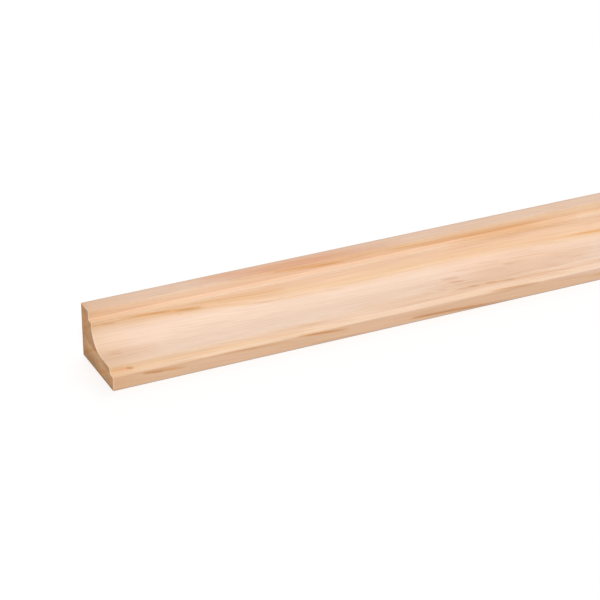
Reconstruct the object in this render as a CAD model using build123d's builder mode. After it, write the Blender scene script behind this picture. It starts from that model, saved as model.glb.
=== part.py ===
"""A length of pine cornice moulding: a quarter-round cove between two stepped fillets.

The stock lies on its wide flat face. Its length runs along X, the moulded front faces -Y, and the two flat
faces that go against the wall and the ceiling are the back (+Y) and the bottom (-Z). The origin is the centre
of the bottom face. Sizes are in millimetres.
"""

import os

from build123d import *

# Overall size
LENGTH = 2400.0
DEPTH = 45.0
HEIGHT = 32.0

# Front edge: an upright fillet, a ledge that falls slightly forwards, and a sloped riser up to the flat
FRONT_FILLET = 8.2
LEDGE_DEPTH = 3.7
LEDGE_FALL = 0.4
RISER_RUN = 1.4
RISER_RISE = 3.6

# Top edge: the flat top face, an upright fillet under it, and a level step above the end of the cove
TOP_FACE = 10.75
TOP_FILLET = 5.4
STEP_DEPTH = 4.0
STEP_LIP = 1.4

# Radii that the cutter leaves: on the outer arrises, in the corner of the ledge and in the corner of the step
ARRIS_RADIUS = 0.4
LEDGE_CORNER_RADIUS = 1.2
STEP_CORNER_RADIUS = 0.6

# Places that follow from those sizes: y from the middle of the depth, z from the bottom face
front_y = -DEPTH / 2
back_y = DEPTH / 2
ledge_y = front_y + LEDGE_DEPTH
ledge_z = FRONT_FILLET + LEDGE_FALL
flat_y = ledge_y + RISER_RUN
flat_z = ledge_z + RISER_RISE
fillet_y = back_y - TOP_FACE
step_y = fillet_y - STEP_DEPTH
step_z = HEIGHT - TOP_FILLET

# The cove is a quarter circle, tangent to the flat at its foot and to the lip of the step at its top
cove_top_z = step_z - STEP_LIP
cove_radius = cove_top_z - flat_z
cove_foot_y = step_y - cove_radius

# Each corner of the section, from the foot of the cove round the front, bottom, back and top to its upper end
corners = [
    ((flat_y, flat_z), ARRIS_RADIUS),
    ((ledge_y, ledge_z), LEDGE_CORNER_RADIUS),
    ((front_y, FRONT_FILLET), ARRIS_RADIUS),
    ((front_y, 0), ARRIS_RADIUS),
    ((back_y, 0), ARRIS_RADIUS),
    ((back_y, HEIGHT), ARRIS_RADIUS),
    ((fillet_y, HEIGHT), ARRIS_RADIUS),
    ((fillet_y, step_z), STEP_CORNER_RADIUS),
    ((step_y, step_z), ARRIS_RADIUS),
]
cove_foot = (cove_foot_y, flat_z)
cove_top = (step_y, cove_top_z)

with BuildPart() as cornice_moulding:
    with BuildSketch(Plane.YZ.offset(-LENGTH / 2)):
        with BuildLine():
            FilletPolyline(
                cove_foot,
                *[place for place, radius in corners],
                cove_top,
                radius=[radius for place, radius in corners],
            )
            JernArc(start=cove_foot, tangent=(1, 0), radius=cove_radius, arc_size=90)
        make_face()
    extrude(amount=LENGTH)

cornice_moulding.part.label = "cornice_moulding"

os.makedirs("parts", exist_ok=True)
export_step(cornice_moulding.part, "parts/cornice_moulding.step")
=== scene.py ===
"""A length of planed pine cornice moulding on a white studio floor.

The moulding lies along X, with its moulded front towards -Y and the end that the picture shows at the
lowest X. Lengths are in metres, where MM is one millimetre. The patterns of the wood are laid out in
millimetres from the bottom front corner of that near end.
"""

import math

import bpy
import numpy as np
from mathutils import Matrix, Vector
from mathutils.geometry import delaunay_2d_cdt


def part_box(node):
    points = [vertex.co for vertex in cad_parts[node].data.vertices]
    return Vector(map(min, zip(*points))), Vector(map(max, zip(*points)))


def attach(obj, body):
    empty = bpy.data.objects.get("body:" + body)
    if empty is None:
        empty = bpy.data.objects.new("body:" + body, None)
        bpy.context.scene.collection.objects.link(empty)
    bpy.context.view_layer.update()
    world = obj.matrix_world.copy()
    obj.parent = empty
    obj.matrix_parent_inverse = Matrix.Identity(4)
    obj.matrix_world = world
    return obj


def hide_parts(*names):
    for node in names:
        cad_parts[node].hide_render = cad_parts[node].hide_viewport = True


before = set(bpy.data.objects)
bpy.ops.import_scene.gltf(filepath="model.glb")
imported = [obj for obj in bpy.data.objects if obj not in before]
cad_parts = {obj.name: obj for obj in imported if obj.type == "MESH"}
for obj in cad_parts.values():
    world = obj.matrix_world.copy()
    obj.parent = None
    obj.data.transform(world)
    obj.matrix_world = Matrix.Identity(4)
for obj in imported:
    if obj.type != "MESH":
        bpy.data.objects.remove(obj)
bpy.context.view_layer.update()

NODE = "cornice_moulding"
BODY = "root"
MM = 0.001
SEED = 7

# The box that the stock fills
low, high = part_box(NODE)
LENGTH = high.x - low.x
WIDTH = high.y - low.y
HEIGHT = high.z - low.z

# Steps of the section, as in the solid
FRONT_FILLET = 8.2 * MM
LEDGE_DEPTH = 3.7 * MM
LEDGE_FALL = 0.4 * MM
RISER_RUN = 1.4 * MM
RISER_RISE = 3.6 * MM
TOP_FACE = 10.75 * MM
TOP_FILLET = 5.4 * MM
STEP_DEPTH = 4.0 * MM
STEP_LIP = 1.4 * MM
ARRIS_RADIUS = 0.4 * MM
LEDGE_CORNER_RADIUS = 1.2 * MM
STEP_CORNER_RADIUS = 0.6 * MM

# How finely the surface is divided
GIRTH_STEP = 0.62 * MM
ARC_PIECES = 4
COVE_PIECES = 34
RIM_PIECES = 3
NEAR_LENGTH = 340 * MM
NEAR_STEP = 3.0 * MM
FAR_STEP = 17.0 * MM
CAP_STEP = 0.62 * MM

# Points across a sawn end: how far they stray from a grid and stay off the rim, as shares of its step
CAP_STRAY = 0.2
CAP_MARGIN = 0.6

# Triangulation that keeps what its edges enclose, and the gap under which its points join
ENCLOSED = 1
JOIN_GAP = 1e-9

# Broken edge round the sawn ends, and relief of the planed and sawn surfaces
RIM = 0.28 * MM
GRAIN_RELIEF = 0.03 * MM
GRAIN_LENGTH = 70 * MM
GRAIN_WIDTH = 1.3 * MM
SAW_RELIEF = 0.035 * MM
SAW_PITCH = 1.3 * MM
SAW_CENTRE = Vector((-90 * MM, -120 * MM))

# Rows and columns of the random table behind the grain relief
LATTICE = (64, 512)

# Share of the paler tone, a painted highlight, on the arrises, in cut corners and round the ends
ARRIS_HIGHLIGHT = 0.25
CORNER_HIGHLIGHT = 0.15
RIM_HIGHLIGHT = 0.8

# Share of the paler tone, a painted highlight, where a face starts and where it ends, in the order in which
# the outline is drawn
LEDGE_HIGHLIGHT = (0.78, 0.62)
# On the top fillet the painted highlight fades out towards the corner below, which paints that corner as
# shaded
TOP_FILLET_HIGHLIGHT = (0.4, 0.0)
STEP_HIGHLIGHT = (0.72, 1.15)

# Share of the paler tone, a painted highlight, where the lip meets the cove
LIP_HIGHLIGHT = 0.3

# Where the surfaces lie on the map that they are baked through, as shares of its side
STRIP_HEIGHT = 0.42
STRIP_GAP = 0.02
CAP_HEIGHT = 0.11
CAP_LEFTS = (0.01, 0.25)
CAP_SCALE = CAP_HEIGHT / HEIGHT

# How the growth layers run: they lean across the stock, sway along it, ripple near its end and wander
LEAN = 0.6
SWAY = 16.5
SWAY_RUN = 600.0
RIPPLE = 1.2
RIPPLE_START = 75.0
RIPPLE_RUN = 36.6
WANDER = 1.6

# How far the edges of streaks fray
FRAY = 0.6

# Grains of the noise in the wood: millimetres along it and across it
WANDER_GRAIN = (90.0, 11.0)
FIBRE_GRAIN = (42.0, 0.8)
STRAND_GRAIN = (120.0, 3.2)
PATCH_GRAIN = (75.0, 5.0)
CLOUD_GRAIN = (60.0, 9.0)
DUCT_GRAIN = (7.0, 0.45)
PORE_GRAIN = (1.0, 0.5)
RED_GRAIN = (1.0, 6.0)
GREY_GRAIN = (1.0, 5.0)
MOTTLE_GRAIN = (1.0, 2.2)

# Layers of detail in that noise
COARSE = 1.0
MEDIUM = 2.0
FINE = 3.0

# Shift that sets the grey patches of the end apart from the red ones
GREY_SHIFT = (0.0, 50.0, 0.0)

# Noise at which a mark starts to show and at which it shows in full
FIBRE_SHOWS = (0.35, 0.75)
STREAK_SHOWS = (0.3, 0.7)
PATCH_SHOWS = (0.5, 0.62)
CLOUD_SHOWS = (0.56, 0.72)
DUCT_SHOWS = (0.7, 0.8)
PORE_SHOWS = (0.4, 0.75)
RED_SHOWS = (0.42, 0.62)
GREY_SHOWS = (0.48, 0.66)
MOTTLE_SHOWS = (0.45, 0.75)

# How strongly such marks show in full
CLOUD_SHARE = 0.5
DUCT_SHARE = 0.6
RING_SHARE = 0.45
MOTTLE_SHARE = 0.7

# Strengths between which streaks vary with the fibres, and the painted highlight with the strands
STREAK_RANGE = (0.65, 1.1)
HIGHLIGHT_RANGE = (0.6, 1.4)

# Depth below the top and behind the front at which the tone of that face is full
FACE_SKIN = 0.05

# Roughness from lowest to highest, how much resin lowers it, and strength and height of the fine bumps
FACE_ROUGHNESS = (0.48, 0.64)
END_ROUGHNESS = (0.62, 0.82)
RESIN_GLOSS = 0.08
FACE_BUMP = (0.35, 0.05 * MM)
END_BUMP = (0.5, 0.08 * MM)

# Colours of the wood, as shares of red, green and blue light
CREAM = (0.900, 0.690, 0.550)
MILK = (0.922, 0.714, 0.577)
HONEY = (0.900, 0.630, 0.440)
TAN = (0.870, 0.605, 0.390)
# Paler colour painted on the arrises, ledges, rims and lip as a highlight
PAINTED_HIGHLIGHT = (0.982, 0.757, 0.575)
TOP_TONE = (0.775, 0.532, 0.380)
END_BROWN = (0.760, 0.430, 0.200)
END_RED = (0.740, 0.365, 0.160)
END_GREY = (0.640, 0.400, 0.220)
END_LIGHT = (0.860, 0.550, 0.300)

# Tints that marks in the wood lay over those colours
RESIN = (0.862, 0.620, 0.288)
BROWN = (0.600, 0.380, 0.220)
GREYED = (0.880, 0.780, 0.670)
ROSY = (0.940, 0.680, 0.510)
FIBRE = (0.912, 0.876, 0.835)
DUCT = (0.840, 0.720, 0.580)
FRONT_TINT = (1.045, 0.985, 1.000)
END_STAIN = (0.940, 0.865, 0.760)
END_STAIN_REACH = 16.0
# Grey darkening along the outer edges and on the riser near the end, and painted shade in the inner corners
# of the section
GREYING_AND_SHADE = (0.720, 0.760, 0.830)
# Darker tint of the end towards its bottom and back edges and in its dark patches
END_DARKENING = (0.380, 0.375, 0.360)
END_DARKENING_REACH = 2.0

# Growth layers: height through the layers at the near end, in millimetres, and the colour there
LAYERS = [
    (-30, CREAM),
    (-14, CREAM),
    (-9, TAN),
    (12.5, TAN),
    (17, MILK),
    (25, MILK),
    (31, CREAM),
    (36.5, CREAM),
    (41, TAN),
    (43, TAN),
    (46, HONEY),
    (53, HONEY),
    (55, TAN),
    (68, TAN),
    (73, CREAM),
    (86, CREAM),
    (89, TAN),
]

# Heights of the thin dark latewood lines between the layers, and their half width
LATEWOOD_LINES = [-10, 12.5, 27, 42, 56, 69, 88]
LATEWOOD_HALF = 1.1

# Marks on the moulded face: from (along, up the face) to (along, up the face), half width, strength
RESIN_STREAKS_AND_EDGE_HIGHLIGHT = [
    ((16, 49.0), (68, 44.5), 1.2, 0.8),
    ((22, 48.7), (42, 47.0), 0.9, 0.84),
    ((14, 46.4), (84, 42.8), 2.4, 0.2),
    ((52, 47.8), (116, 45.2), 2.2, 0.34),
    ((66, 44.0), (107, 40.0), 0.6, 0.35),
    ((88, 41.2), (150, 38.0), 0.8, 0.3),
    ((-4, 47.9), (18, 46.7), 0.9, 0.22),
    ((106, 58.6), (156, 55.4), 1.0, 0.84),
    ((150, 57.2), (186, 56.2), 1.5, 0.36),
    ((176, 56.8), (226, 55.0), 1.5, 0.7),
    ((150, 55.2), (214, 54.6), 1.0, 0.34),
    ((184, 57.8), (222, 57.2), 1.0, 0.2),
    ((205, 56.4), (290, 54.0), 2.0, 0.68),
    ((216, 51.0), (305, 50.2), 2.6, 0.62),
    ((222, 31.0), (310, 29.0), 5.0, 0.26),
    ((140, 18.6), (300, 17.0), 4.0, 0.17),
    ((170, 12.8), (300, 12.4), 2.0, 0.26),
    ((222, 15.0), (304, 13.2), 1.0, 0.34),
    # A painted orange highlight along the near end's top edge
    ((0.3, 58.0), (0.3, 69.9), 0.9, 0.45),
    ((-4, 57.0), (44, 55.4), 0.9, 0.25),
    ((-24, 50.8), (66, 50.6), 2.4, 0.17),
    ((146, 51.4), (232, 51.2), 1.2, 0.07),
    ((-8, 14.2), (16, 12.2), 1.0, 0.08),
    ((20, 12.9), (340, 12.7), 1.6, 0.15),
    ((-20, 15.5), (320, 15.4), 0.9, 0.1),
    ((80, 59.5), (262, 59.3), 1.5, 0.2),
    ((82, 60.8), (148, 60.2), 1.5, 0.32),
    ((-16, 10.0), (34, 9.8), 1.6, 0.07),
    ((16, 7.0), (42, 4.9), 0.6, 1.0),
    ((47, 8.0), (108, 5.7), 0.45, 0.45),
    ((108, 7.7), (140, 5.6), 0.8, 0.95),
    ((226, 9.0), (256, 7.5), 0.6, 0.5),
    ((204, 16.2), (300, 13.4), 0.9, 0.4),
    ((176, 3.1), (226, 1.9), 1.3, 0.45),
    ((110, 15.0), (127, 13.3), 0.5, 0.3),
]
BROWN_STREAKS = [
    ((34, 47.5), (46, 46.5), 0.45, 0.3),
    ((48, 46.0), (64, 45.0), 0.5, 0.55),
    ((5.5, 47.4), (14, 46.8), 0.5, 0.3),
    ((94, 41.4), (107, 39.8), 0.6, 0.16),
    ((138, 39.6), (152, 37.9), 0.7, 0.18),
    ((9, 13.3), (13.2, 12.6), 0.4, 0.85),
    ((3, 29.3), (13, 28.5), 1.4, 0.1),
    ((17, 6.6), (29, 5.3), 0.6, 0.7),
    ((-4, 8.9), (52, 8.7), 1.4, 0.16),
    ((60, 7.7), (104, 6.2), 0.4, 0.2),
    ((112, 7.4), (136, 6.0), 0.45, 0.4),
    ((115, 1.3), (150, 1.1), 0.4, 0.35),
    ((179, 3.0), (211, 2.3), 0.7, 0.9),
    ((196, 2.5), (246, 0.0), 0.8, 0.65),
    ((208, 16.3), (217, 15.5), 0.45, 0.45),
    ((216, 16.1), (225, 15.3), 0.5, 0.5),
    ((228, 15.7), (238, 14.9), 0.45, 0.55),
    ((237, 15.3), (248, 14.5), 0.5, 0.45),
    ((230, 8.8), (262, 7.5), 0.6, 0.6),
    ((208, 29.2), (218, 28.3), 1.0, 0.24),
    ((210, 24.7), (218, 23.1), 1.0, 0.26),
    ((218, 33.5), (228, 32.8), 0.55, 0.22),
    ((234, 35.5), (248, 34.2), 0.6, 0.24),
    ((229, 27.8), (249, 26.2), 1.8, 0.1),
    ((248.5, 30.9), (256, 29.8), 0.8, 0.3),
    ((199.5, 19.0), (204.5, 17.6), 0.7, 0.3),
    ((189, 18.8), (195.5, 17.7), 0.7, 0.24),
]
BLOTCHES = [
    ((4, 30.8), (14, 29.8), 0.8, 1.1),
    ((5, 29.0), (13, 26.6), 0.8, 1.3),
    ((-10, 31.0), (24, 30.0), 3.6, 0.55),
    ((-14, 25.0), (34, 25.0), 6.0, 0.65),
    ((150, 21.5), (176, 21.5), 3.0, 0.3),
    ((168, 61.2), (182, 60.2), 1.0, 0.6),
    ((206, 29.0), (219, 28.2), 1.2, 0.6),
    ((208, 24.8), (220, 23.4), 1.5, 1.2),
    ((200, 23.0), (212, 22.2), 1.2, 0.4),
    ((224, 25.0), (262, 22.0), 4.5, 0.4),
    ((188, 20.0), (305, 17.5), 6.0, 0.6),
    ((130, 16.4), (300, 16.2), 2.0, 0.6),
    ((50, 14.3), (345, 13.9), 1.6, 0.72),
]
BLUSHES = [
    ((60, 65.0), (195, 62.5), 4.0, 0.55),
    ((66, 67.4), (108, 65.0), 2.4, 0.8),
    ((76, 64.5), (172, 62.8), 4.5, 0.97),
    ((82, 60.4), (178, 59.4), 2.0, 1.0),
    ((200, 24.0), (300, 20.0), 6.0, 0.2),
    ((1.5, 13.6), (14, 12.5), 1.2, 0.45),
    ((205, 39.0), (300, 33.0), 8.0, 0.16),
]

# Where a mark starts and ends that runs on past both ends of the stock
OVERRUN = 400
BEFORE = -OVERRUN
PAST = LENGTH / MM + OVERRUN

# Grey darkening along the outer edges, painted shade in the inner corners of the section, and grey darkening
# on the riser near the end
GREYING_AND_SHADE_MARKS = [
    ((BEFORE, 0.0), (PAST, 0.0), 0.8, 1.0),
    ((BEFORE, 69.9), (PAST, 69.9), 1.5, 0.95),
    ((BEFORE, 12.9), (PAST, 12.9), 0.7, 0.2),
    ((BEFORE, 54.5), (PAST, 54.5), 0.8, 0.32),
    ((-8, 15.0), (26, 14.6), 0.8, 0.32),
    ((6, 13.2), (46, 12.9), 1.0, 0.24),
    ((8, 14.8), (76, 14.4), 1.2, 0.17),
]

# Dark and light patches on the end grain: from (back, up) to (back, up), half width, strength
END_SHADES = [
    ((50, 3.4), (18, 1.6), 3.2, 0.5),
    ((48, 14.0), (24, 14.5), 1.8, 0.22),
    ((31, 18.5), (19, 12.0), 0.9, 0.32),
    ((46, 29.0), (35, 28.5), 2.0, 0.16),
]
END_LIGHTS = [
    ((40, 10.4), (12, 9.6), 2.0, 0.85),
    ((23, 7.0), (5, 7.6), 1.6, 0.75),
    ((38, 24.0), (36, 18.0), 2.0, 0.25),
]

# Beyond the marked stretch the same kinds of mark come from noise
MARKED_END = 265.0
MARKED_FADE = 60.0

# Camera of the picture: place from the near end's bottom front corner, turns, and lens in sensor widths
EYE = Vector((-365.4, -996.6, 605.8)) * MM
TILT = math.radians(27.54)
PAN = math.radians(25.48)
FOCAL_WIDTHS = 3.827
SENSOR = 36.0

# Suns: the way towards each, its strength as a share of full white light, and its width in degrees
KEY_SUN = ((-0.366, -0.678, 0.639), 0.642, 40)
BACK_FILL_SUN = ((0.4, 0.7, 0.5), 0.19, 60)
BEHIND_SUN = ((0.25, 0.97, 0.03), 0.45, 16)

# White surroundings: as they are seen, and the light that they give
WHITE = (1, 1, 1, 1)
SKY_SEEN = 1.0
SKY_LIGHT = 0.42
FLOOR_SIZE = 120
FLOOR_PAPER = (0.55, 0.55, 0.55, 1)
FLOOR_GLOW = 0.5
FLOOR_DULL = (0.3, 0.3, 0.3, 1)

# Colour sockets of a mix node
MIX_UNDER = 6
MIX_OVER = 7
MIX_RESULT = 2


# Section of the moulding

def section_corners():
    """Foot, top and radius of the cove, and the other corners of the section with their radii.

    The corners go from the foot of the cove round the front, the bottom, the back and the top to the
    upper end of the cove.
    """
    ledge = Vector((low.y + LEDGE_DEPTH, FRONT_FILLET + LEDGE_FALL))
    flat = ledge + Vector((RISER_RUN, RISER_RISE))
    fillet_y = high.y - TOP_FACE
    step = Vector((fillet_y - STEP_DEPTH, HEIGHT - TOP_FILLET))
    cove_top = step - Vector((0, STEP_LIP))
    cove_radius = cove_top.y - flat.y
    cove_foot = cove_top - Vector((cove_radius, cove_radius))
    corners = {
        "flat_front": (flat, ARRIS_RADIUS),
        "ledge_back": (ledge, LEDGE_CORNER_RADIUS),
        "ledge_front": (Vector((low.y, FRONT_FILLET)), ARRIS_RADIUS),
        "front_bottom": (Vector((low.y, 0)), ARRIS_RADIUS),
        "back_bottom": (Vector((high.y, 0)), ARRIS_RADIUS),
        "back_top": (Vector((high.y, HEIGHT)), ARRIS_RADIUS),
        "top_front": (Vector((fillet_y, HEIGHT)), ARRIS_RADIUS),
        "step_back": (Vector((fillet_y, step.y)), STEP_CORNER_RADIUS),
        "step_front": (step, ARRIS_RADIUS),
    }
    return cove_foot, cove_top, cove_radius, corners


def rounded(before, corner, after, radius):
    """Points of the arc that rounds a corner."""
    towards_before = (before - corner).normalized()
    towards_after = (after - corner).normalized()
    half = towards_before.angle(towards_after) / 2
    centre = corner + (towards_before + towards_after).normalized() * (radius / math.sin(half))
    reach = radius / math.tan(half)
    start = corner + towards_before * reach - centre
    end = corner + towards_after * reach - centre
    return [centre + radius * start.slerp(end, i / ARC_PIECES) for i in range(ARC_PIECES + 1)]


def cove_points(cove_foot, cove_radius):
    """Points of the cove from its foot to its top."""
    centre = cove_foot + Vector((0, cove_radius))
    turns = [math.pi / 2 * i / COVE_PIECES for i in range(COVE_PIECES + 1)]
    return [centre + cove_radius * Vector((math.sin(turn), -math.cos(turn))) for turn in turns]


def section_points():
    """Closed outline as rows of y and z, with each point's share of the paler tone, a painted highlight.

    It runs anticlockwise seen from +X.
    """
    cove_foot, cove_top, cove_radius, corners = section_corners()
    places = [cove_foot] + [place for place, radius in corners.values()] + [cove_top]
    run_highlight = {"ledge_front": LEDGE_HIGHLIGHT, "step_back": TOP_FILLET_HIGHLIGHT, "step_front": STEP_HIGHLIGHT}
    points = [cove_foot]
    painted_highlight = [0.0]
    for i, (name, (place, radius)) in enumerate(corners.items()):
        arc = rounded(places[i], place, places[i + 2], radius)
        start = points[-1]
        run = arc[0] - start
        pieces = max(1, math.ceil(run.length / GIRTH_STEP))
        shares = [j / pieces for j in range(1, pieces)]
        points += [start + run * share for share in shares]
        painted_highlight += np.interp(shares, (0, 1), run_highlight.get(name, (0, 0))).tolist()
        points += arc
        painted_highlight += [ARRIS_HIGHLIGHT if radius == ARRIS_RADIUS else CORNER_HIGHLIGHT] * len(arc)
    cove = cove_points(cove_foot, cove_radius)[:0:-1]
    points += cove
    painted_highlight += [LIP_HIGHLIGHT] + [0.0] * (len(cove) - 1)
    return np.array(points), np.array(painted_highlight)


def face_line():
    """Moulded face in section from the front bottom edge to the back of the top face, with sharp corners."""
    cove_foot, cove_top, cove_radius, corners = section_corners()
    below = ["front_bottom", "ledge_front", "ledge_back", "flat_front"]
    above = ["step_front", "step_back", "top_front", "back_top"]
    points = [corners[name][0] for name in below]
    points += cove_points(cove_foot, cove_radius)
    points += [corners[name][0] for name in above]
    return np.array(points)


# Mesh of the moulding

def distances(points):
    """How far each point is along a line of points."""
    return np.r_[0, np.cumsum(np.linalg.norm(np.diff(points, axis=0), axis=1))]


def outward(points):
    """Unit normals of an outline that runs anticlockwise seen from +X."""
    along = np.roll(points, -1, 0) - np.roll(points, 1, 0)
    normal = np.column_stack([along[:, 1], -along[:, 0]])
    return normal / np.linalg.norm(normal, axis=1, keepdims=True)


def lattice(u, v):
    """Smooth noise from 0 to 1 at places given in cells of a repeating lattice."""
    rows, columns = LATTICE
    table = np.random.default_rng(SEED).uniform(0, 1, LATTICE)
    u0 = np.floor(u).astype(int)
    v0 = np.floor(v).astype(int)
    su = (u - u0) ** 2 * (3 - 2 * (u - u0))
    sv = (v - v0) ** 2 * (3 - 2 * (v - v0))
    row, next_row = u0 % rows, (u0 + 1) % rows
    column, next_column = v0 % columns, (v0 + 1) % columns
    near = table[row, column] * (1 - su) + table[next_row, column] * su
    far = table[row, next_column] * (1 - su) + table[next_row, next_column] * su
    return near * (1 - sv) + far * sv


def stations():
    """Places along X with how far the outline is drawn in there, which rounds the rim of both ends."""
    turn = np.linspace(0, math.pi / 2, RIM_PIECES + 1)
    rim_x = RIM * (1 - np.cos(turn))
    rim_inset = RIM * (1 - np.sin(turn))
    near = np.arange(NEAR_STEP, NEAR_LENGTH, NEAR_STEP)
    far = np.linspace(NEAR_LENGTH, LENGTH, math.ceil((LENGTH - NEAR_LENGTH) / FAR_STEP) + 1)[:-1]
    between = np.concatenate([near, far])
    x = low.x + np.concatenate([rim_x, between, LENGTH - rim_x[::-1]])
    inset = np.concatenate([rim_inset, np.zeros(len(between)), rim_inset[::-1]])
    return x, inset


def long_surface(ring):
    """Places of the planed faces as rings along X, their quads, and the quads' corners on the bake map."""
    x, inset = stations()
    girth = distances(np.vstack([ring, ring[:1]]))
    x_grid, girth_grid = np.meshgrid(x, girth[:-1], indexing="ij")
    sway = SWAY * MM * np.sin((x_grid - low.x) / (SWAY_RUN * MM))
    relief = GRAIN_RELIEF * lattice(x_grid / GRAIN_LENGTH, (girth_grid + sway) / GRAIN_WIDTH)
    depth = inset[:, None] + relief
    yz = ring[None] - outward(ring)[None] * depth[..., None]
    places = np.concatenate([x_grid[..., None], yz], axis=2)

    row, column = np.meshgrid(np.arange(len(x) - 1), np.arange(len(ring)), indexing="ij")
    rows = np.stack([row, row, row + 1, row + 1], -1).reshape(-1, 4)
    columns = np.stack([column, column + 1, column + 1, column], -1).reshape(-1, 4)
    quads = rows * len(ring) + columns % len(ring)

    middle = np.argmin(np.abs(x))
    strip = (rows[:, :1] >= middle).astype(int)
    start = np.where(strip == 0, x[0], x[middle])
    reach = np.where(strip == 0, x[middle] - x[0], x[-1] - x[middle])
    u = (x[rows] - start) / reach
    v = strip * (STRIP_HEIGHT + STRIP_GAP) + girth[columns] / girth[-1] * STRIP_HEIGHT
    return places, quads, np.stack([u, v], -1)


def inside_outline(points, ring, margin):
    """True for each point that lies inside a closed outline, further than margin from it."""
    y, z = points.T
    gap = np.full(len(points), np.inf)
    inside = np.zeros(len(points), bool)
    for a, b in zip(ring, np.roll(ring, -1, 0)):
        run = b - a
        share = np.clip((points - a) @ run / (run @ run), 0, 1)
        gap = np.minimum(gap, np.linalg.norm(points - a - share[:, None] * run, axis=1))
        if a[1] != b[1]:
            crossing = a[0] + (z - a[1]) / (b[1] - a[1]) * run[0]
            inside ^= ((a[1] > z) != (b[1] > z)) & (y < crossing)
    return inside & (gap > margin)


def sawn_end(ring, x, side):
    """Places across a sawn end inside its ring, and triangles over the ring and them."""
    y = np.arange(low.y + CAP_STEP, high.y, CAP_STEP)
    z = np.arange(low.z + CAP_STEP, high.z, CAP_STEP)
    grid = np.stack(np.meshgrid(y, z), -1).reshape(-1, 2)
    grid += np.random.default_rng(SEED).uniform(-CAP_STRAY, CAP_STRAY, grid.shape) * CAP_STEP
    inner = grid[inside_outline(grid, ring, CAP_MARGIN * CAP_STEP)]
    edges = [(i, (i + 1) % len(ring)) for i in range(len(ring))]
    corners = [Vector(point) for point in np.vstack([ring, inner])]
    triangles = np.array(delaunay_2d_cdt(corners, edges, [], ENCLOSED, JOIN_GAP)[2])

    reach = np.linalg.norm(inner - np.array(SAW_CENTRE), axis=1) / SAW_PITCH
    wave = 0.5 + 0.5 * np.sin(2 * math.pi * reach)
    places = np.column_stack([x - side * SAW_RELIEF * wave, inner])
    return places, triangles if side > 0 else triangles[:, ::-1]


def cap_map(points, left):
    """Where points of a sawn end lie on the bake map."""
    base = 2 * STRIP_HEIGHT + 2 * STRIP_GAP
    return np.stack([left + (points[..., 1] - low.y) * CAP_SCALE, base + points[..., 2] * CAP_SCALE], -1)


def rim_looks(ring, painted_highlight, count):
    """Paler tone, a painted highlight, at each point of so many rings, and the material number of each quad
    between them.
    """
    front_and_up = np.array([-1, 1])
    moulded = outward(ring) @ front_and_up > 0
    tone = np.tile(painted_highlight, (count, 1))
    material = np.zeros((count - 1, len(ring)), np.int32)
    for rim in (slice(0, RIM_PIECES), slice(-RIM_PIECES, None)):
        tone[rim] = np.where(moulded, RIM_HIGHLIGHT, 0)
        material[rim] = ~moulded
    return tone.ravel(), material.ravel()


def build_moulding():
    """The whole length as one closed mesh, with its bake map and its paler tone, a painted highlight."""
    ring, painted_highlight = section_points()
    places, quads, quad_map = long_surface(ring)
    vertices = [places.reshape(-1, 3)]
    faces = quads.tolist()
    corner_maps = [quad_map.reshape(-1, 2)]
    total = len(vertices[0])
    for end, side, left in zip((0, len(places) - 1), (-1, 1), CAP_LEFTS):
        inner, triangles = sawn_end(places[end, :, 1:], places[end, 0, 0], side)
        numbers = np.r_[np.arange(len(ring)) + end * len(ring), np.arange(len(inner)) + total]
        every = np.vstack([places[end], inner])
        vertices.append(inner)
        faces += numbers[triangles].tolist()
        corner_maps.append(cap_map(every[triangles], left).reshape(-1, 2))
        total += len(inner)

    mesh = bpy.data.meshes.new("pine_cornice")
    mesh.from_pydata(np.vstack(vertices).tolist(), [], faces)
    mesh.uv_layers.new(name="OFBake").uv.foreach_set("vector", np.vstack(corner_maps).ravel())
    ring_tone, quad_material = rim_looks(ring, painted_highlight, len(places))
    tone = np.r_[ring_tone, np.zeros(total - len(ring_tone))]
    material = np.r_[quad_material, np.ones(len(faces) - len(quads), np.int32)]
    mesh.attributes.new("painted_highlight", "FLOAT", "POINT").data.foreach_set("value", tone)
    mesh.polygons.foreach_set("use_smooth", np.ones(len(faces), bool))
    mesh.polygons.foreach_set("material_index", material)
    piece = bpy.data.objects.new("pine_cornice", mesh)
    bpy.context.scene.collection.objects.link(piece)
    return piece


# Shader nodes

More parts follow.
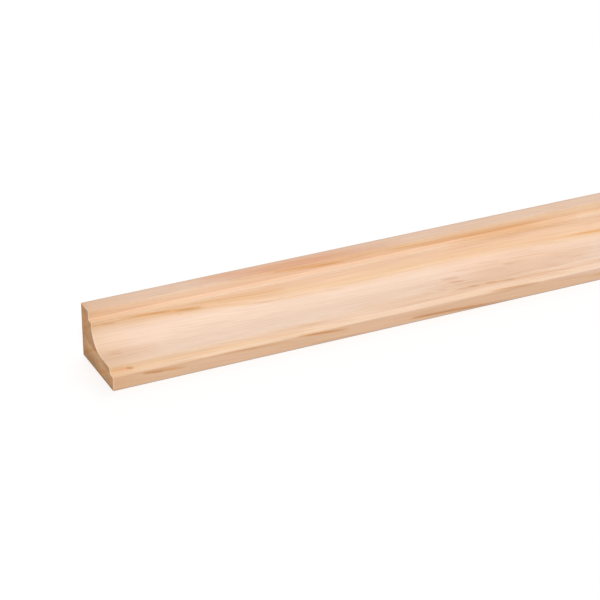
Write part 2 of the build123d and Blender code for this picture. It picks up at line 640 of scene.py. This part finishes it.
class Net:
    """Adds nodes to a shader tree. Calls other than node and feed give back the sockets of their result."""

    def __init__(self, tree):
        self.tree = tree

    def node(self, kind, **settings):
        node = self.tree.nodes.new(kind)
        for name, value in settings.items():
            setattr(node, name, value)
        return node

    def feed(self, socket, value):
        if isinstance(value, bpy.types.NodeSocket):
            self.tree.links.new(value, socket)
        else:
            socket.default_value = value

    def math(self, operation, a, b=0.0):
        node = self.node("ShaderNodeMath", operation=operation)
        self.feed(node.inputs[0], a)
        self.feed(node.inputs[1], b)
        return node.outputs[0]

    def vector(self, operation, a, b):
        node = self.node("ShaderNodeVectorMath", operation=operation)
        self.feed(node.inputs[0], a)
        self.feed(node.inputs[1], b)
        return node.outputs["Value" if operation == "DOT_PRODUCT" else "Vector"]

    def split(self, vector):
        node = self.node("ShaderNodeSeparateXYZ")
        self.feed(node.inputs[0], vector)
        return node.outputs["X"], node.outputs["Y"], node.outputs["Z"]

    def join(self, x, y, z):
        node = self.node("ShaderNodeCombineXYZ")
        for socket, value in zip(node.inputs, (x, y, z)):
            self.feed(socket, value)
        return node.outputs[0]

    def noise(self, place, grain, detail=MEDIUM):
        """Noise about 0.5, in grains that are so many millimetres long in X and wide across it."""
        along, across = grain
        scaled = self.vector("DIVIDE", place, (along, across, across))
        node = self.node("ShaderNodeTexNoise")
        node.inputs["Scale"].default_value = 1.0
        node.inputs["Detail"].default_value = detail
        self.feed(node.inputs["Vector"], scaled)
        return node.outputs["Fac"]

    def ease(self, value, start, end):
        """Goes smoothly from 0 to 1 as the value goes from start to end."""
        node = self.node("ShaderNodeMapRange", interpolation_type="SMOOTHSTEP")
        self.feed(node.inputs["Value"], value)
        node.inputs["From Min"].default_value = start
        node.inputs["From Max"].default_value = end
        return node.outputs["Result"]

    def scale(self, value, start, end):
        """Turns a value from 0 to 1 into one from start to end."""
        node = self.node("ShaderNodeMapRange", clamp=False)
        self.feed(node.inputs["Value"], value)
        node.inputs["To Min"].default_value = start
        node.inputs["To Max"].default_value = end
        return node.outputs["Result"]

    def bell(self, off):
        """1 where the value is 0, and less the further it is off to either side."""
        return self.math("EXPONENT", self.math("MULTIPLY", self.math("MULTIPLY", off, off), -1.0))

    def mix(self, share, under, over, blend="MIX"):
        """Colour that goes from under to over as the share goes from 0 to 1."""
        node = self.node("ShaderNodeMix", data_type="RGBA", blend_type=blend)
        self.feed(node.inputs[0], share)
        for number, colour in ((MIX_UNDER, under), (MIX_OVER, over)):
            value = colour if isinstance(colour, bpy.types.NodeSocket) else (*colour, 1)
            self.feed(node.inputs[number], value)
        return node.outputs[MIX_RESULT]

    def ramp(self, value, stops):
        """Colour that follows a value through a list of stops."""
        first = stops[0][0]
        reach = stops[-1][0] - first
        node = self.node("ShaderNodeValToRGB")
        for i, (place, colour) in enumerate(stops):
            elements = node.color_ramp.elements
            stop = elements[i] if i < len(elements) else elements.new(1.0)
            stop.position = (place - first) / reach
            stop.color = (*colour, 1)
        self.feed(node.inputs[0], self.math("DIVIDE", self.math("SUBTRACT", value, first), reach))
        return node.outputs["Color"]


def new_material(name):
    """New material, the net of its nodes, and its shader."""
    material = bpy.data.materials.new(name)
    material.use_nodes = True
    return material, Net(material.node_tree), material.node_tree.nodes["Principled BSDF"]


def thread_group():
    """Node group for a soft streak between two places that tapers to its ends, laid over other marks."""
    group = bpy.data.node_groups.new("thread", "ShaderNodeTree")
    for name in ("Place", "Start", "End"):
        group.interface.new_socket(name, in_out="INPUT", socket_type="NodeSocketVector")
    for name in ("Half Width", "Strength", "Under"):
        group.interface.new_socket(name, in_out="INPUT", socket_type="NodeSocketFloat")
    group.interface.new_socket("Mask", in_out="OUTPUT", socket_type="NodeSocketFloat")
    net = Net(group)
    given = net.node("NodeGroupInput").outputs
    run = net.vector("SUBTRACT", given["End"], given["Start"])
    away = net.vector("SUBTRACT", given["Place"], given["Start"])
    share = net.math("DIVIDE", net.vector("DOT_PRODUCT", away, run), net.vector("DOT_PRODUCT", run, run))
    share = net.math("MINIMUM", net.math("MAXIMUM", share, 0.0), 1.0)
    beside = net.vector("SUBTRACT", away, net.vector("MULTIPLY", run, net.join(share, share, share)))
    gap = net.math("SQRT", net.vector("DOT_PRODUCT", beside, beside))
    core = net.bell(net.math("DIVIDE", gap, given["Half Width"]))
    arch = net.math("SQRT", net.math("MULTIPLY", share, net.math("SUBTRACT", 1.0, share)))
    taper = net.math("MULTIPLY", arch, 2.0)
    mask = net.math("MULTIPLY", net.math("MULTIPLY", core, taper), given["Strength"])
    out = net.node("NodeGroupOutput").inputs["Mask"]
    net.feed(out, net.math("MAXIMUM", mask, given["Under"]))
    return group


def on_face(along, up):
    """Place on the moulded face, so far along the stock and so far up round its section."""
    line = (face_line() - np.array([low.y, low.z])) / MM
    girth = distances(line)
    return along, np.interp(up, girth, line[:, 0]), np.interp(up, girth, line[:, 1])


def on_end(back, up):
    """Place on the section of the stock, so far from its front and its bottom."""
    return 0.0, back, up


def marks(net, place, group, threads, spot):
    """Mask of a list of threads, whose ends the spot function places."""
    mask = 0.0
    for start, end, half_width, strength in threads:
        node = net.node("ShaderNodeGroup", node_tree=group)
        net.feed(node.inputs["Place"], place)
        node.inputs["Start"].default_value = spot(*start)
        node.inputs["End"].default_value = spot(*end)
        node.inputs["Half Width"].default_value = half_width
        node.inputs["Strength"].default_value = strength
        net.feed(node.inputs["Under"], mask)
        mask = node.outputs["Mask"]
    return mask


# Materials of the wood

def wood_place(net):
    """Place in millimetres from the bottom front corner of the near end."""
    place = net.vector("SUBTRACT", net.node("ShaderNodeTexCoord").outputs["Object"], low)
    return net.vector("DIVIDE", place, (MM, MM, MM))


def grain_place(net, place):
    """Place along the fibres, across them, and up through the growth layers."""
    x, y, z = net.split(place)
    sway = net.math("MULTIPLY", net.math("SINE", net.math("DIVIDE", x, SWAY_RUN)), SWAY)
    turn = net.math("SINE", net.math("DIVIDE", net.math("SUBTRACT", x, RIPPLE_START), RIPPLE_RUN))
    ripple = net.math("MULTIPLY", turn, net.scale(net.ease(x, MARKED_END, 2 * MARKED_END), RIPPLE, 0.0))
    wander = net.scale(net.noise(place, WANDER_GRAIN), -WANDER, WANDER)
    layer = net.math("ADD", z, net.math("MULTIPLY", y, LEAN))
    for shift in (sway, ripple, wander):
        layer = net.math("ADD", layer, shift)
    return net.join(x, y, layer)


def unmarked(net, place):
    """1 on the stretch and the faces that have no marks of their own."""
    x, y, z = net.split(place)
    beyond = net.ease(x, MARKED_END, MARKED_END + MARKED_FADE)
    behind = net.ease(y, (WIDTH - ARRIS_RADIUS) / MM, WIDTH / MM)
    under = net.ease(z, ARRIS_RADIUS / MM, 0.0)
    return net.math("MAXIMUM", beyond, net.math("MAXIMUM", behind, under))


def end_stain(net, place):
    """Share of the darker tone that the wood takes on towards its sawn ends."""
    x = net.split(place)[0]
    reach = net.math("MINIMUM", x, net.math("SUBTRACT", LENGTH / MM, x))
    fade = net.math("EXPONENT", net.math("DIVIDE", reach, -END_STAIN_REACH))
    return net.math("MULTIPLY", fade, net.ease(reach, 0.0, 2 * RIM / MM))


def latewood_lines(net, layer):
    """Mask of the thin dark lines between growth layers."""
    mask = 0.0
    for height in LATEWOOD_LINES:
        off = net.math("DIVIDE", net.math("SUBTRACT", layer, height), LATEWOOD_HALF)
        mask = net.math("MAXIMUM", net.bell(off), mask)
    return mask


def layer_colour(net, place, layer):
    """Colour of the growth layers, with the tones of the top face and the front laid over them."""
    y, z = net.split(place)[1:]
    top = net.ease(z, (HEIGHT - ARRIS_RADIUS) / MM, HEIGHT / MM - FACE_SKIN)
    front = net.ease(y, ARRIS_RADIUS / MM, FACE_SKIN)
    colour = net.mix(top, net.ramp(layer, LAYERS), TOP_TONE)
    return net.mix(front, colour, FRONT_TINT, "MULTIPLY")


def add_bumps(net, shader, height, bump):
    """Fine bumps on a shader that follow a height."""
    strength, distance = bump
    node = net.node("ShaderNodeBump")
    node.inputs["Strength"].default_value = strength
    node.inputs["Distance"].default_value = distance
    net.feed(node.inputs["Height"], height)
    net.feed(shader.inputs["Normal"], node.outputs["Normal"])


def pine_face(group):
    """Planed face: cream and tan growth layers, latewood streaks, grey and rosy stains, fine fibres, a
    painted highlight on edges and ledges and painted shade in the inner corners.
    """
    material, net, shader = new_material("pine_face")
    place = wood_place(net)
    grain = grain_place(net, place)
    layer = net.split(grain)[2]
    fibre = net.noise(grain, FIBRE_GRAIN, FINE)
    strand = net.noise(grain, STRAND_GRAIN)
    unseen = unmarked(net, place)

    # Streak edges fray along the strands
    fray = net.scale(strand, -FRAY, FRAY)
    frayed = net.vector("ADD", place, net.join(0.0, fray, fray))
    grainy = net.scale(net.ease(fibre, *STREAK_SHOWS), *STREAK_RANGE)
    patches = net.math("MULTIPLY", net.ease(net.noise(grain, PATCH_GRAIN), *PATCH_SHOWS), unseen)
    latewood = net.math("MULTIPLY", latewood_lines(net, layer), patches)
    streak = net.math("MAXIMUM", marks(net, frayed, group, RESIN_STREAKS_AND_EDGE_HIGHLIGHT, on_face), latewood)
    brown = marks(net, frayed, group, BROWN_STREAKS, on_face)
    clouds = net.math("MULTIPLY", net.ease(net.noise(grain, CLOUD_GRAIN), *CLOUD_SHOWS), unseen)
    clouds = net.math("MULTIPLY", clouds, CLOUD_SHARE)
    blotch = net.math("MAXIMUM", marks(net, frayed, group, BLOTCHES, on_face), clouds)
    duct = net.math("MULTIPLY", net.ease(net.noise(grain, DUCT_GRAIN, COARSE), *DUCT_SHOWS), DUCT_SHARE)

    colour = layer_colour(net, place, layer)
    colour = net.mix(marks(net, frayed, group, BLUSHES, on_face), colour, ROSY, "MULTIPLY")
    colour = net.mix(net.math("MULTIPLY", blotch, grainy), colour, GREYED, "MULTIPLY")
    # Painted highlight on the arrises, ledges, rims and lip, fading out down the top fillet as painted shade
    painted_highlight = net.node("ShaderNodeAttribute", attribute_name="painted_highlight").outputs["Fac"]
    colour = net.mix(net.math("MULTIPLY", painted_highlight, net.scale(strand, *HIGHLIGHT_RANGE)), colour, PAINTED_HIGHLIGHT)
    colour = net.mix(net.math("MULTIPLY", streak, grainy), colour, RESIN, "MULTIPLY")
    colour = net.mix(net.math("MULTIPLY", brown, grainy), colour, BROWN, "MULTIPLY")
    colour = net.mix(net.ease(fibre, *FIBRE_SHOWS), colour, FIBRE, "MULTIPLY")
    colour = net.mix(duct, colour, DUCT, "MULTIPLY")
    # Grey darkening along the edges and on the riser, and painted shade in the inner corners
    colour = net.mix(marks(net, place, group, GREYING_AND_SHADE_MARKS, on_face), colour, GREYING_AND_SHADE, "MULTIPLY")
    colour = net.mix(end_stain(net, place), colour, END_STAIN, "MULTIPLY")
    net.feed(shader.inputs["Base Color"], colour)

    gloss = net.math("MULTIPLY", streak, RESIN_GLOSS)
    rough = net.math("SUBTRACT", net.scale(fibre, *FACE_ROUGHNESS), gloss)
    net.feed(shader.inputs["Roughness"], rough)
    add_bumps(net, shader, net.math("SUBTRACT", fibre, duct), FACE_BUMP)
    return material


def pine_end(group):
    """Sawn end: darker grain with growth rings, red and grey patches, open pores, darker towards its bottom
    and back edges.
    """
    material, net, shader = new_material("pine_end")
    place = wood_place(net)
    y, z = net.split(place)[1:]
    section = net.vector("MULTIPLY", place, (0.0, 1.0, 1.0))
    layer = net.split(grain_place(net, place))[2]
    pores = net.noise(place, PORE_GRAIN, FINE)
    red = net.ease(net.noise(place, RED_GRAIN), *RED_SHOWS)
    grey = net.ease(net.noise(net.vector("ADD", place, GREY_SHIFT), GREY_GRAIN), *GREY_SHOWS)
    mottle = net.ease(net.noise(place, MOTTLE_GRAIN), *MOTTLE_SHOWS)
    # Darker towards the bottom and back edges of the end
    edge = net.math("MINIMUM", z, net.math("SUBTRACT", WIDTH / MM, y))
    shade = marks(net, section, group, END_SHADES, on_end)
    darkening = net.math("MAXIMUM", net.ease(edge, END_DARKENING_REACH, 0.0), shade)

    colour = net.mix(red, END_BROWN, END_RED)
    colour = net.mix(grey, colour, END_GREY)
    colour = net.mix(marks(net, section, group, END_LIGHTS, on_end), colour, END_LIGHT)
    rings = net.math("MULTIPLY", latewood_lines(net, layer), RING_SHARE)
    colour = net.mix(rings, colour, RESIN, "MULTIPLY")
    colour = net.mix(net.math("MULTIPLY", mottle, MOTTLE_SHARE), colour, GREYED, "MULTIPLY")
    colour = net.mix(net.ease(pores, *PORE_SHOWS), colour, DUCT, "MULTIPLY")
    colour = net.mix(darkening, colour, END_DARKENING, "MULTIPLY")
    net.feed(shader.inputs["Base Color"], colour)
    net.feed(shader.inputs["Roughness"], net.scale(pores, *END_ROUGHNESS))
    add_bumps(net, shader, pores, END_BUMP)
    return material


# Camera, light and floor

def add_camera():
    """Camera that sees the moulding as the picture shows it."""
    camera = bpy.data.objects.new("camera", bpy.data.cameras.new("camera"))
    camera.data.sensor_width = SENSOR
    camera.data.lens = FOCAL_WIDTHS * SENSOR
    camera.location = low + EYE
    camera.rotation_euler = (math.pi / 2 - TILT, 0, -PAN)
    bpy.context.scene.collection.objects.link(camera)
    bpy.context.scene.camera = camera


def add_sun(name, direction, strength, angle, glint=True):
    """Soft sun from a direction, whose strength is a share of full white light."""
    data = bpy.data.lights.new(name, "SUN")
    data.energy = strength * math.pi
    data.angle = math.radians(angle)
    lamp = bpy.data.objects.new(name, data)
    lamp.rotation_euler = Vector(direction).to_track_quat("Z", "Y").to_euler()
    lamp.visible_glossy = glint
    bpy.context.scene.collection.objects.link(lamp)


def looked_at(net):
    """1 for rays by which a surface is seen, straight or in a gloss, and 0 for the light it gives off."""
    path = net.node("ShaderNodeLightPath").outputs
    seen = net.math("MAXIMUM", path["Is Camera Ray"], path["Is Glossy Ray"])
    return net.math("MAXIMUM", seen, path["Is Transmission Ray"])


def add_world():
    """White to look at, and a softer light on the moulding."""
    world = bpy.data.worlds.new("studio")
    world.use_nodes = True
    bpy.context.scene.world = world
    net = Net(world.node_tree)
    background = world.node_tree.nodes["Background"]
    background.inputs["Color"].default_value = WHITE
    net.feed(background.inputs["Strength"], net.scale(looked_at(net), SKY_LIGHT, SKY_SEEN))


def floor_material():
    """White paper to look at, which keeps the shadow, and a duller sheet for the light it throws back."""
    material, net, shader = new_material("floor_white")
    material.node_tree.nodes.remove(shader)
    paper = net.node("ShaderNodeBsdfDiffuse")
    paper.inputs["Color"].default_value = FLOOR_PAPER
    glow = net.node("ShaderNodeEmission")
    glow.inputs["Strength"].default_value = FLOOR_GLOW
    shown = net.node("ShaderNodeAddShader")
    net.feed(shown.inputs[0], paper.outputs[0])
    net.feed(shown.inputs[1], glow.outputs[0])
    dull = net.node("ShaderNodeBsdfDiffuse")
    dull.inputs["Color"].default_value = FLOOR_DULL
    choice = net.node("ShaderNodeMixShader")
    net.feed(choice.inputs[0], looked_at(net))
    net.feed(choice.inputs[1], dull.outputs[0])
    net.feed(choice.inputs[2], shown.outputs[0])
    net.feed(material.node_tree.nodes["Material Output"].inputs["Surface"], choice.outputs[0])
    return material


def add_floor():
    """Wide white floor under the moulding."""
    bpy.ops.mesh.primitive_plane_add(size=FLOOR_SIZE)
    floor = bpy.context.object
    floor.name = "floor"
    floor.data.materials.append(floor_material())


piece = build_moulding()
thread = thread_group()
piece.data.materials.append(pine_face(thread))
piece.data.materials.append(pine_end(thread))
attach(piece, BODY)
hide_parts(NODE)

add_camera()
add_sun("key", *KEY_SUN)
add_sun("back_fill", *BACK_FILL_SUN)
add_sun("behind", *BEHIND_SUN, glint=False)
add_world()
add_floor()
bpy.context.scene.view_settings.view_transform = "Standard"
